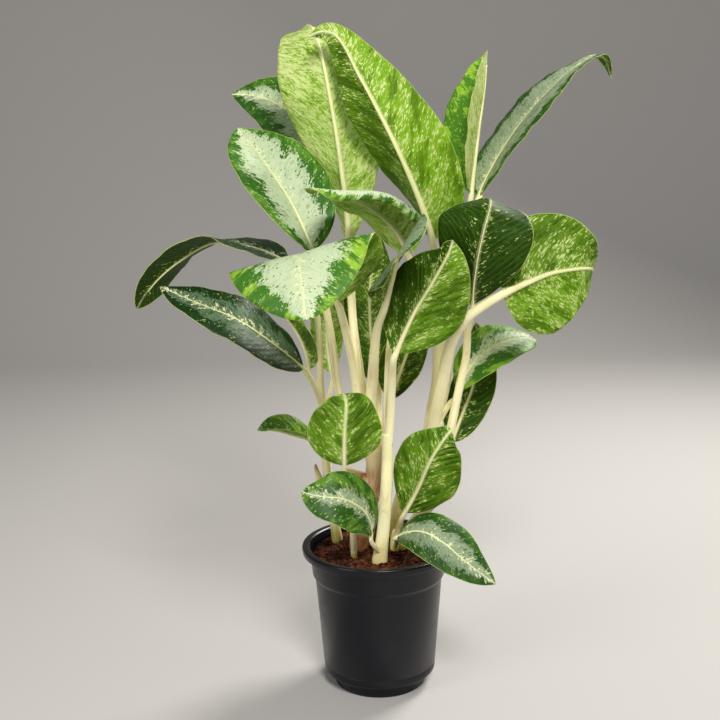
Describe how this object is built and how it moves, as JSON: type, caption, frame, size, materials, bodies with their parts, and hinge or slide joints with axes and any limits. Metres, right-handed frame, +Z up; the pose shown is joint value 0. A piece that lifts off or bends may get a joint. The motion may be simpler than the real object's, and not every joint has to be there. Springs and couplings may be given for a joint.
{
  "type": "potted chinese evergreen",
  "caption": "Leafy house plant with long arching variegated blades on pale stems, growing from soil in a round plastic nursery pot.",
  "frame": {"origin": "centre of the pot's foot, on the surface that it stands on", "axes": "+Z up, +X to the right and -Y towards the front that the picture shows"},
  "size_m": [0.4663, 0.36, 0.6345],
  "materials": {
    "pot_plastic": "satin",
    "soil": "matte",
    "stem": "satin",
    "leaf": "satin"
  },
  "bodies": {
    "root": {"pot": "pot_plastic", "soil": "soil", "shoot_front": "stem", "shoot_middle": "stem", "shoot_left": "stem", "shoot_right": "stem", "shoot_back": "stem", "shoot_thin_left": "stem", "shoot_thin_right": "stem", "leaf_top_pale": "leaf", "leaf_top_arched": "leaf", "leaf_back_left": "leaf", "leaf_upper_left": "leaf", "leaf_front_wavy": "leaf", "leaf_front_edge": "leaf", "leaf_front_drooping": "leaf", "leaf_far_left": "leaf", "leaf_left_low": "leaf", "leaf_young_folded": "leaf", "leaf_upper_right": "leaf", "leaf_right_rounded": "leaf", "leaf_right_broad": "leaf", "leaf_centre": "leaf", "leaf_centre_back": "leaf", "leaf_inner_left": "leaf", "leaf_lower_right": "leaf", "leaf_right_back": "leaf", "leaf_small_left": "leaf", "leaf_base_round": "leaf", "leaf_base_left": "leaf", "leaf_base_right": "leaf", "leaf_over_rim": "leaf", "leaf_left_narrow": "leaf", "leaf_inner_narrow": "leaf"}
  },
  "joints": []
}
